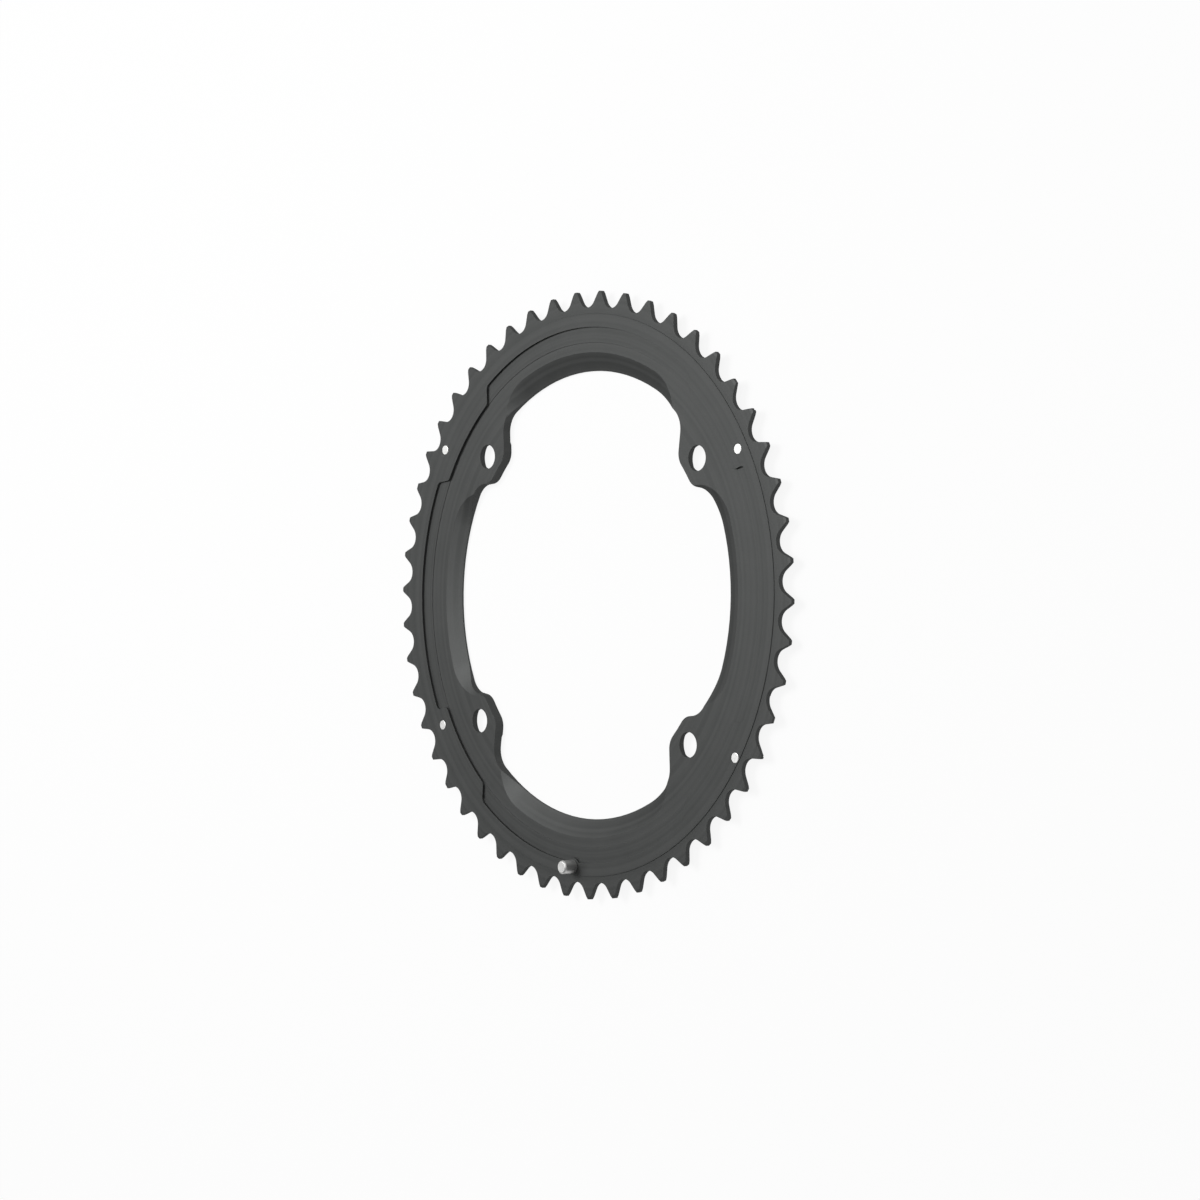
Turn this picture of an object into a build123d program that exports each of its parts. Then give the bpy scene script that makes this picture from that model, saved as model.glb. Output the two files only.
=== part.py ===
# Outer chainring of a road bicycle: a toothed aluminium ring with four bolt tabs, four steel shift pins
# and a steel chain-drop pin. Sizes are in millimetres and angles in degrees.
# The ring lies on the backs of its tabs with its outer face up. The origin is on the ring's axis, in the
# plane that the tabs lie on. +Z points out of the outer face, and +X runs along the wider bolt spacing.
import os
from math import asin, atan2, cos, degrees, hypot, radians, sin, sqrt, tan

from build123d import *

# Chain and teeth
chain_pitch = 12.7
tooth_count = 50
first_tooth_angle = 1.08
root_depth = 3.92
roller_seat_radius = 4.2
roller_seat_half_angle = 57.0
tooth_rise = 1.67
tooth_thickness = 1.7
tip_bevel_length = 1.0
tip_bevel_depth = 0.2
short_tooth_drop = 0.6

# Section of the ring, as thicknesses and heights above the plane that it lies on
tab_thickness = 3.5
tab_pad_rise = 0.4
rim_edge_thickness = 0.6
pocket_rise = 0.18
seat_depth = 1.0
band_step = 0.2

# Section of the ring, as distances inward from the pitch circle
band_outer_inset = 6.0
plate_back_inset = 7.6
pocket_inset = 10.5
body_back_inset = 13.0
seat_inset = 15.7

# Raised lobes of the tooth band outside the bolts, and the same half a turn on: first and last angle at the
# seat circle, and how far each of these ends leans outward at the pocket circle
band_lobes = ((30.0, 53.0, 0.6, 2.4), (130.5, 153.6, 2.4, 2.2))
lobe_round = 2.0

# Bolt holes, with a counterbore in the back for the bolt's head
bolt_circle = 145.0
bolt_half_angle = 40.0
bolt_hole_diameter = 8.4
bolt_land = 1.45
counterbore_diameter = 12.0

# Tabs and inner rim, with the rim's distances measured from the bolt circle
tab_pad_diameter = 20.0
tab_nose_width = 11.4
tab_flank_angle = 45.0
tab_nose_round = 6.0
tab_root_round = 8.0
nose_inset = 7.3
side_rim_inset = 1.4
end_rim_outset = 3.45

# Bevel along the inner rim, left by a cone-shaped cutter that swings about the axis between the tabs
rim_bevel_width = 6.2
rim_cutter_radius = 16.0
side_bevel_span = (-17.0, 21.0)
end_bevel_span = (-24.0, 27.0)

# Shift pins just behind valleys between teeth: valley number, and distance in from the pitch circle
shift_pin_places = ((4, 10.45), (20, 8.0))
shift_pin_lag = 0.35
shift_pin_diameter = 3.5
shift_pin_reach = 2.3
teeth_from_pin_to_short_tooth = 2
shift_ramp_depth = 0.6
shift_ramp_inset = 5.6

# Chain-drop pin
drop_pin_angle = 270.0
drop_pin_inset = 8.9
drop_pin_diameter = 4.6
drop_pin_length = 5.2
drop_pin_chamfer = 0.4
drop_pin_shank_diameter = 3.0
drop_pin_shank_length = 2.9
drop_pin_boss_margin = 0.7

# Fits and cutting allowances
pin_clearance = 0.02
cut_allowance = 0.4

# Levels, radii and angles that follow from the sizes above
pitch_radius = chain_pitch / 2 / sin(radians(180 / tooth_count))
tip_radius = pitch_radius + tooth_rise
seat_center_radius = pitch_radius - root_depth + roller_seat_radius
tooth_step = 360 / tooth_count
first_valley_angle = first_tooth_angle + tooth_step / 2
band_front = tab_thickness + seat_depth
tooth_front = band_front - band_step
tooth_back = tooth_front - tooth_thickness
pocket_floor = tab_thickness + pocket_rise
bevel_foot = tab_pad_rise + rim_edge_thickness
bevel_depth = tab_thickness - bevel_foot
band_outer_radius = pitch_radius - band_outer_inset
plate_back_radius = pitch_radius - plate_back_inset
pocket_radius = pitch_radius - pocket_inset
body_back_radius = pitch_radius - body_back_inset
seat_radius = pitch_radius - seat_inset
bolt_radius = bolt_circle / 2
bolt_spacing_x = bolt_circle * cos(radians(bolt_half_angle))
bolt_spacing_y = bolt_circle * sin(radians(bolt_half_angle))
nose_radius = bolt_radius - nose_inset
side_rim_radius = bolt_radius - side_rim_inset
end_rim_radius = bolt_radius + end_rim_outset
drop_pin_radius = pitch_radius - drop_pin_inset
ramp_rim = tip_radius + cut_allowance
half_turn = tooth_count // 2
pin_valleys = [(valley + turn, inset) for turn in (0, half_turn) for valley, inset in shift_pin_places]
shift_pins = [
    (first_valley_angle + tooth_step * valley - shift_pin_lag, pitch_radius - inset)
    for valley, inset in pin_valleys
]
short_teeth = [(valley + teeth_from_pin_to_short_tooth) % tooth_count for valley, inset in pin_valleys]
short_tooth_offset = tooth_step * (teeth_from_pin_to_short_tooth - 0.5)
standing = (Align.CENTER, Align.CENTER, Align.MIN)


def polar(radius, angle):
    return (radius * cos(radians(angle)), radius * sin(radians(angle)))


def reach(point):
    return hypot(point.X, point.Y)


def section_plane(angle):
    return Plane(origin=(0, 0, 0), x_dir=(*polar(1, angle), 0), z_dir=(*polar(1, angle - 90), 0))


# Outline of the teeth. A gap between two teeth is worked out in the +X direction: its flank leaves the
# roller's seat on a tangent and runs straight to the tip.
flank_direction = Vector(1, 0).rotate(Axis.Z, 90 - roller_seat_half_angle)
flank_normal = flank_direction.rotate(Axis.Z, 90)
flank_start = Vector(seat_center_radius, 0) + flank_normal * roller_seat_radius


def flank_end(tip):
    along = flank_start.dot(flank_direction)
    run = sqrt(along**2 - flank_start.length**2 + tip**2) - along
    return flank_start + flank_direction * run


def angle_of(point):
    return degrees(atan2(point.Y, point.X))


# Plate of the teeth: each tip is bevelled on both sides, and a shallow ramp behind the teeth follows each
# shift pin
flank_start_offset = angle_of(flank_start)
tip_limit = pitch_radius + (tooth_rise - short_tooth_drop) / 2
with BuildPart() as tooth_plate:
    with BuildSketch(Plane.XY.offset(tooth_back)):
        with BuildLine():
            for tooth in range(tooth_count):
                gap_angle = first_valley_angle + tooth_step * (tooth - 1)
                next_gap_angle = gap_angle + tooth_step
                tip = tip_radius - short_tooth_drop if tooth in short_teeth else tip_radius
                tip_offset = angle_of(flank_end(tip))
                CenterArc(
                    polar(seat_center_radius, gap_angle),
                    roller_seat_radius,
                    gap_angle + 180 + roller_seat_half_angle,
                    -2 * roller_seat_half_angle,
                )
                Polyline(
                    polar(flank_start.length, gap_angle + flank_start_offset),
                    polar(tip, gap_angle + tip_offset),
                    polar(tip, next_gap_angle - tip_offset),
                    polar(flank_start.length, next_gap_angle - flank_start_offset),
                )
        make_face()
    extrude(amount=tooth_thickness)
    for side in (0, -1):
        face = tooth_plate.faces().sort_by(Axis.Z)[side]
        tips = face.edges().filter_by(lambda edge: reach(edge.center()) > tip_limit)
        chamfer(tips, tip_bevel_length, tip_bevel_depth, reference=face)
    Hole(band_outer_radius)
    for angle, radius in shift_pins:
        with BuildSketch(section_plane(angle + shift_pin_lag + tooth_step / 2)):
            with BuildLine():
                Polyline(
                    (pitch_radius - shift_ramp_inset, tooth_back),
                    (ramp_rim, tooth_back),
                    (ramp_rim, tooth_back + shift_ramp_depth),
                    close=True,
                )
            make_face()
        revolve(axis=Axis.Z, revolution_arc=short_tooth_offset, mode=Mode.SUBTRACT)


# Opening inside the ring: the tabs reach in to the nose circle, and their flanks spread out to the rim
nose_half_width = tab_nose_width / 2
flank_apex = sqrt(nose_radius**2 - nose_half_width**2) - nose_half_width / tan(radians(tab_flank_angle))


def flank_offset(radius):
    return tab_flank_angle - degrees(asin(flank_apex * sin(radians(tab_flank_angle)) / radius))


tabs = (
    (bolt_half_angle, side_rim_radius, end_rim_radius),
    (180 - bolt_half_angle, end_rim_radius, side_rim_radius),
    (180 + bolt_half_angle, side_rim_radius, end_rim_radius),
    (360 - bolt_half_angle, end_rim_radius, side_rim_radius),
)
next_tab_angles = [tab[0] for tab in tabs[1:]] + [360 + bolt_half_angle]
nose_offset = flank_offset(nose_radius)
nose_limit = (nose_radius + side_rim_radius) / 2
with BuildPart() as opening:
    with BuildSketch():
        with BuildLine():
            for (angle, rim_before, rim_after), next_angle in zip(tabs, next_tab_angles):
                nose_start = angle - nose_offset
                nose_end = angle + nose_offset
                rim_start = angle + flank_offset(rim_after)
                rim_end = next_angle - flank_offset(rim_after)
                Line(polar(rim_before, angle - flank_offset(rim_before)), polar(nose_radius, nose_start))
                CenterArc((0, 0), nose_radius, nose_start, nose_end - nose_start)
                Line(polar(nose_radius, nose_end), polar(rim_after, rim_start))
                CenterArc((0, 0), rim_after, rim_start, rim_end - rim_start)
        make_face()
    extrude(amount=band_front)
    corners = opening.edges().filter_by(Axis.Z)
    fillet(corners.filter_by(lambda edge: reach(edge.center()) > nose_limit), tab_root_round)
    corners = opening.edges().filter_by(Axis.Z)
    fillet(corners.filter_by(lambda edge: reach(edge.center()) < nose_limit), tab_nose_round)


# Lobes once around the ring, with the first one again at the end
lobes = [(first + turn, last + turn, *leans) for turn in (0, 180, 360) for first, last, *leans in band_lobes]
lobes = lobes[: 2 * len(band_lobes) + 1]

# Recess in the outer face: out to the seat circle, and further between the lobes
with BuildPart() as recess:
    with BuildSketch(Plane.XY.offset(pocket_floor)):
        with BuildLine():
            for (first, last, _, last_lean), (next_first, _, next_lean, _) in zip(lobes, lobes[1:]):
                pocket_start = last + last_lean
                pocket_end = next_first - next_lean
                CenterArc((0, 0), seat_radius, first, last - first)
                Line(polar(seat_radius, last), polar(pocket_radius, pocket_start))
                CenterArc((0, 0), pocket_radius, pocket_start, pocket_end - pocket_start)
                Line(polar(pocket_radius, pocket_end), polar(seat_radius, next_first))
        make_face()
    extrude(amount=band_front - pocket_floor)
    fillet(recess.edges().filter_by(Axis.Z), lobe_round)
    with Locations((*polar(drop_pin_radius, drop_pin_angle), pocket_floor)):
        Cylinder(
            drop_pin_diameter / 2 + drop_pin_boss_margin,
            band_front - pocket_floor,
            align=standing,
            mode=Mode.SUBTRACT,
        )


# Cuts of the bevel along the inner rim: middle angle, radius of the rim, and the cutter's swing
rim_bevels = (
    (0, side_rim_radius, side_bevel_span),
    (90, end_rim_radius, end_bevel_span),
    (180, side_rim_radius, side_bevel_span),
    (270, end_rim_radius, end_bevel_span),
)
cutter_foot_radius = rim_cutter_radius - rim_bevel_width
cutter_height = bevel_depth + cut_allowance
cutter_top_radius = cutter_foot_radius + rim_bevel_width * cutter_height / bevel_depth


# The ring: a turned body, milled and drilled, with the plate of the teeth around it
with BuildPart() as chainring:
    with BuildSketch(Plane.XZ):
        with BuildLine():
            Polyline(
                (0, tab_pad_rise),
                (body_back_radius, tab_pad_rise),
                (plate_back_radius, tooth_back),
                (band_outer_radius, tooth_back),
                (band_outer_radius, band_front),
                (0, band_front),
                close=True,
            )
        make_face()
    revolve(axis=Axis.Z)

    # Pads behind the tabs
    with BuildSketch():
        with GridLocations(bolt_spacing_x, bolt_spacing_y, 2, 2):
            Circle(tab_pad_diameter / 2)
    extrude(amount=tab_pad_rise)

    # Recess for the crank's arms
    add(recess.part, mode=Mode.SUBTRACT)
    with BuildSketch(Plane.XY.offset(tab_thickness)):
        Circle(seat_radius)
    extrude(amount=pocket_rise, mode=Mode.SUBTRACT)

    # Opening and tabs
    add(opening.part, mode=Mode.SUBTRACT)

    # Bevel of the inner rim
    for middle, rim_radius, (swing_start, swing_end) in rim_bevels:
        path_radius = rim_radius - cutter_foot_radius
        with BuildSketch(section_plane(middle + swing_start)):
            with BuildLine():
                Polyline(
                    (path_radius, bevel_foot),
                    (path_radius + cutter_foot_radius, bevel_foot),
                    (path_radius + cutter_top_radius, bevel_foot + cutter_height),
                    (path_radius, bevel_foot + cutter_height),
                    close=True,
                )
            make_face()
        revolve(axis=Axis.Z, revolution_arc=swing_end - swing_start, mode=Mode.SUBTRACT)
        for swing in (swing_start, swing_end):
            with Locations((*polar(path_radius, middle + swing), bevel_foot)):
                Cone(
                    cutter_foot_radius,
                    cutter_top_radius,
                    cutter_height,
                    align=standing,
                    mode=Mode.SUBTRACT,
                )

    # Bolt holes, entered from the back
    with Locations(Plane.XY.rotated((180, 0, 0))):
        with GridLocations(bolt_spacing_x, bolt_spacing_y, 2, 2):
            CounterBoreHole(bolt_hole_diameter / 2, counterbore_diameter / 2, tab_thickness - bolt_land)

    # Teeth
    add(tooth_plate.part)

    # Pin holes
    with Locations(*[polar(radius, angle) for angle, radius in shift_pins]):
        Hole(shift_pin_diameter / 2 + pin_clearance)
    with Locations(polar(drop_pin_radius, drop_pin_angle)):
        Hole(drop_pin_shank_diameter / 2 + pin_clearance)

chainring.part.label = "chainring"


# Chain-drop pin: its body stands on the outer face, and its shank goes through the ring
drop_pin_end = band_front + drop_pin_length
shank_end = band_front - drop_pin_shank_length
with BuildPart() as chain_drop_pin:
    with BuildSketch(Plane.XZ):
        with BuildLine():
            Polyline(
                (0, shank_end),
                (drop_pin_shank_diameter / 2, shank_end),
                (drop_pin_shank_diameter / 2, band_front),
                (drop_pin_diameter / 2, band_front),
                (drop_pin_diameter / 2, drop_pin_end - drop_pin_chamfer),
                (drop_pin_diameter / 2 - drop_pin_chamfer, drop_pin_end),
                (0, drop_pin_end),
                close=True,
            )
        make_face()
    revolve(axis=Axis.Z)

chain_drop_pin.part.label = "chain_drop_pin"


# Shift pin: one end lies flush with the outer face, and the other stands out behind the teeth
shift_pin_end = tooth_back - shift_pin_reach
with BuildPart() as shift_pin:
    with Locations((0, 0, shift_pin_end)):
        Cylinder(shift_pin_diameter / 2, band_front - shift_pin_end, align=standing)


# Write each piece in its place
os.makedirs("parts", exist_ok=True)
export_step(chainring.part, "parts/chainring.step")
drop_pin_place = Location((*polar(drop_pin_radius, drop_pin_angle), 0))
export_step(chain_drop_pin.part.moved(drop_pin_place), "parts/chain_drop_pin.step")
for number, (angle, radius) in enumerate(shift_pins, start=1):
    placed_pin = shift_pin.part.moved(Location((*polar(radius, angle), 0)))
    placed_pin.label = f"shift_pin_{number}"
    export_step(placed_pin, f"parts/shift_pin_{number}.step")
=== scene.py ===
from math import cos, pi, radians, sin

import bpy
from mathutils import Matrix, Vector

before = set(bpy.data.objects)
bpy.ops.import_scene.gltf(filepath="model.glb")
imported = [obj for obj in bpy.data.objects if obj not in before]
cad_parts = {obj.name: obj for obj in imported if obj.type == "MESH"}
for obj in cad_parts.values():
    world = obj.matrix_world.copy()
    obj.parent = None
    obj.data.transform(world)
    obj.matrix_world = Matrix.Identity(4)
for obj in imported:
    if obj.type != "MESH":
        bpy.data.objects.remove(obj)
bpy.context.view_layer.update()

scene = bpy.context.scene
scene.view_settings.view_transform = "Standard"
print("chainring loaded with", len(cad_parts), "pieces")


# a socket that shader maths can be written with
class Sock:
    def __init__(self, tree, socket=None):
        self.tree = tree
        self.socket = socket

    def node(self, kind, settings=None, inputs=None, output=0):
        made = self.tree.nodes.new(kind)
        for name, value in (settings or {}).items():
            setattr(made, name, value)
        for name, value in (inputs or {}).items():
            if isinstance(value, Sock):
                self.tree.links.new(value.socket, made.inputs[name])
            else:
                made.inputs[name].default_value = value
        return Sock(self.tree, made.outputs[output] if made.outputs else None)

    def maths(self, operation, *values):
        return self.node("ShaderNodeMath", {"operation": operation}, dict(enumerate(values)))

    def blend(self, low, high):  # colours, with this value as the share of the second
        first, second, result = 6, 7, 2  # the Mix node's colour sockets
        inputs = {"Factor": self, first: low, second: high}
        return self.node("ShaderNodeMix", {"data_type": "RGBA"}, inputs, result)

    def __add__(self, other):
        return self.maths("ADD", self, other)

    def __sub__(self, other):
        return self.maths("SUBTRACT", self, other)

    def __rsub__(self, other):
        return self.maths("SUBTRACT", other, self)

    def __mul__(self, other):
        return self.maths("MULTIPLY", self, other)

    __radd__ = __add__
    __rmul__ = __mul__


def newMaterial(name):
    material = bpy.data.materials.new(name)
    material.use_nodes = True
    material.node_tree.nodes.clear()
    return material, Sock(material.node_tree)


def mm(size):
    return size / 1000  # in metres, as the frame is


# camera, where the photograph was taken from
viewFinder = {
    "eye": (0.78422, 0.02569, 0.65114),
    "aim": (0.00983, -0.00130, 0.00443),
    "up": (-0.0402, 0.9992, 0.0061),
    "lens": 90.10,
    "sensor": 36.0,
}


def placeCamera(look):
    camera = bpy.data.objects.new("camera", bpy.data.cameras.new("camera"))
    camera.data.lens = look["lens"]
    camera.data.sensor_width = look["sensor"]
    back = (Vector(look["eye"]) - Vector(look["aim"])).normalized()
    right = Vector(look["up"]).cross(back).normalized()
    axes = Matrix((right, back.cross(right), back)).transposed()
    camera.matrix_world = Matrix.Translation(look["eye"]) @ axes.to_4x4()
    scene.collection.objects.link(camera)
    scene.camera = camera


placeCamera(viewFinder)
print("camera placed")

# pale floor with a low wall around it, which show white with a faint shadow and are clear from behind
floorLook = {
    "radius": 8.0,
    "sides": 48,
    "wall": 2.2,
    "drop": mm(0.05),  # below the tabs' backs, so that the two faces don't mix in the render
    "color": (0.8, 0.8, 0.8, 1),
    "glow": {"Color": (1, 1, 1, 1), "Strength": 1.0},
    "glowShare": 0.9,
    "glowsFor": ("Is Camera Ray", "Is Glossy Ray", "Is Transmission Ray"),
}


def paleFloor(look):
    material, sock = newMaterial("paleFloor")
    camera, glossy, through = (sock.node("ShaderNodeLightPath", output=ray) for ray in look["glowsFor"])
    share = (camera + glossy + through) * look["glowShare"]
    matt = sock.node("ShaderNodeBsdfDiffuse", inputs={"Color": look["color"]})
    glow = sock.node("ShaderNodeEmission", inputs=look["glow"])
    front = sock.node("ShaderNodeMixShader", inputs={0: share, 1: matt, 2: glow})
    behind = sock.node("ShaderNodeNewGeometry", output="Backfacing")
    clear = sock.node("ShaderNodeBsdfTransparent")
    surface = sock.node("ShaderNodeMixShader", inputs={0: behind, 1: front, 2: clear})
    sock.node("ShaderNodeOutputMaterial", inputs={"Surface": surface})
    return material


def layFloor(look):
    sides = range(look["sides"])
    turns = [2 * pi * side / look["sides"] for side in sides]
    around = [(look["radius"] * cos(turn), look["radius"] * sin(turn)) for turn in turns]
    corners = [(x, y, z) for z in (-look["drop"], look["wall"]) for x, y in around]
    faces = [tuple(sides)]
    for side in sides:  # the wall faces inwards
        after = (side + 1) % look["sides"]
        faces.append((after, side, side + look["sides"], after + look["sides"]))
    mesh = bpy.data.meshes.new("floor")
    mesh.from_pydata(corners, [], faces)
    mesh.materials.append(paleFloor(look))
    floor = bpy.data.objects.new("floor", mesh)
    scene.collection.objects.link(floor)


layFloor(floorLook)

# room light, the same for every ray
roomLook = {"color": (1, 1, 1, 1), "light": 0.22}


def lightRoom(look):
    world = bpy.data.worlds.new("room")
    scene.world = world
    world.use_nodes = True
    world.node_tree.nodes.clear()
    sock = Sock(world.node_tree)
    sky = sock.node("ShaderNodeBackground", inputs={"Color": look["color"], "Strength": look["light"]})
    sock.node("ShaderNodeOutputWorld", inputs={"Surface": sky})


lightRoom(roomLook)

# soft studio lamps: place, size and watts
lampSet = {
    "key": {"place": (-0.40, 0.32, 1.05), "size": 0.6, "watts": 9.7},
    "side": {"place": (-0.80, 0.02, 0.80), "size": 0.5, "watts": 1.35},
    "fill": {"place": (0.45, 0.35, 0.80), "size": 0.8, "watts": 2.4},
}


def hangLamps(lamps):
    for name, lamp in lamps.items():
        light = bpy.data.lights.new(name, "AREA")
        light.shape = "DISK"
        light.size = lamp["size"]
        light.energy = lamp["watts"]
        holder = bpy.data.objects.new(name, light)
        holder.location = lamp["place"]
        holder.rotation_euler = Vector(lamp["place"]).to_track_quat("Z", "Y").to_euler()  # aimed at the ring
        holder.visible_camera = False
        scene.collection.objects.link(holder)


hangLamps(lampSet)
print("floor, room and lamps set")

noiseMiddle = 0.5  # the level that a noise swings about


# patterns for both metals, from a size and a detail
def speckles(place, look):
    inputs = {"Vector": place, "Scale": 1 / look["size"], "Detail": look["detail"]}
    return place.node("ShaderNodeTexNoise", inputs=inputs)


def turningMarks(place, look):  # change only with the distance from the Z axis
    x, y = (place.node("ShaderNodeSeparateXYZ", inputs={0: place}, output=axis) for axis in "XY")
    radius = place.maths("SQRT", x * x + y * y)
    inputs = {"W": radius, "Scale": 1 / look["size"], "Detail": look["detail"]}
    return place.node("ShaderNodeTexNoise", {"noise_dimensions": "1D"}, inputs)


def bumps(height):  # in metres
    return height.node("ShaderNodeBump", inputs={"Strength": 1.0, "Distance": 1.0, "Height": height})


# ring: dark anodised aluminium, blasted over faint turning lines
ringLook = {
    "dark": (0.048, 0.050, 0.049, 1),
    "light": (0.088, 0.090, 0.089, 1),
    "metal": 0.7,
    "gloss": 0.05,
    "grazing": (0.45, 0.45, 0.45, 1),
    "roughness": 0.55,
    # what each pattern adds to the colour, the roughness and the height
    "clouds": {"size": mm(9), "detail": 4.0, "color": 0.35, "roughness": 0.06},
    "lines": {"size": mm(2.2), "detail": 5.0, "color": 0.5, "roughness": 0.08, "height": mm(0.004)},
    "grain": {"size": mm(0.16), "detail": 2.0, "color": 0.15, "height": mm(0.012)},
    "lineContrast": 1.8,
}


def anodisedAluminium(look):
    material, sock = newMaterial("anodisedAluminium")
    cloudLook, lineLook, grainLook = look["clouds"], look["lines"], look["grain"]
    place = sock.node("ShaderNodeTexCoord", output="Object")
    clouds = speckles(place, cloudLook)
    lines = (turningMarks(place, lineLook) - noiseMiddle) * look["lineContrast"] + noiseMiddle
    grain = speckles(place, grainLook)
    share = clouds * cloudLook["color"] + lines * lineLook["color"] + grain * grainLook["color"]
    height = grain * grainLook["height"] + lines * lineLook["height"]
    smoothest = look["roughness"] - noiseMiddle * (lineLook["roughness"] + cloudLook["roughness"])
    surface = sock.node(
        "ShaderNodeBsdfPrincipled",
        inputs={
            "Base Color": share.blend(look["dark"], look["light"]),
            "Metallic": look["metal"],
            "Specular IOR Level": look["gloss"],
            "Specular Tint": look["grazing"],
            "Roughness": lines * lineLook["roughness"] + clouds * cloudLook["roughness"] + smoothest,
            "Normal": bumps(height),
        },
    )
    sock.node("ShaderNodeOutputMaterial", inputs={"Surface": surface})
    return material


# pins: bright steel with turned ends
pinLook = {
    "dark": (0.50, 0.50, 0.49, 1),
    "light": (0.68, 0.68, 0.67, 1),
    "metal": 1.0,
    "roughness": 0.45,
    # middle and size are shares of the box around a pin
    "middle": (0.5, 0.5, 0.5),
    "turning": {"size": 0.05, "detail": 2.0, "roughness": 0.12, "height": mm(0.004)},
}


def brightSteel(look):
    material, sock = newMaterial("brightSteel")
    turningLook = look["turning"]
    inBox = sock.node("ShaderNodeTexCoord", output="Generated")
    place = sock.node("ShaderNodeVectorMath", {"operation": "SUBTRACT"}, {0: inBox, 1: look["middle"]})
    turning = turningMarks(place, turningLook)
    smoothest = look["roughness"] - noiseMiddle * turningLook["roughness"]
    surface = sock.node(
        "ShaderNodeBsdfPrincipled",
        inputs={
            "Base Color": turning.blend(look["dark"], look["light"]),
            "Metallic": look["metal"],
            "Roughness": turning * turningLook["roughness"] + smoothest,
            "Normal": bumps(turning * turningLook["height"]),
        },
    )
    sock.node("ShaderNodeOutputMaterial", inputs={"Surface": surface})
    return material


# edges broken as a deburring brush leaves them
edgeLook = {
    "width": {"chainring": mm(0.05), "chain_drop_pin": mm(0.12), "shift_pin": mm(0.2)},
    "segments": 2,
    "sharpFrom": radians(30),
    "flatWithin": radians(0.5),  # facets that lie this flat become one face
    "weld": mm(0.002),
}


def dress(node, material, width, look):
    node.data.materials.clear()
    node.data.materials.append(material)
    weld = node.modifiers.new("weld", "WELD")
    weld.merge_threshold = look["weld"]
    flats = node.modifiers.new("joinedFlats", "DECIMATE")
    flats.decimate_type = "DISSOLVE"
    flats.angle_limit = look["flatWithin"]
    bevel = node.modifiers.new("softEdges", "BEVEL")
    bevel.width = width
    bevel.segments = look["segments"]
    bevel.limit_method = "ANGLE"
    bevel.angle_limit = look["sharpFrom"]
    bevel.use_clamp_overlap = False
    normals = node.modifiers.new("flatFaces", "WEIGHTED_NORMAL")
    normals.keep_sharp = True


ringFinish = anodisedAluminium(ringLook)
pinFinish = brightSteel(pinLook)
for name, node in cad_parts.items():
    width = next(width for piece, width in edgeLook["width"].items() if name.startswith(piece))
    dress(node, ringFinish if name == "chainring" else pinFinish, width, edgeLook)
print("ring and pins dressed")
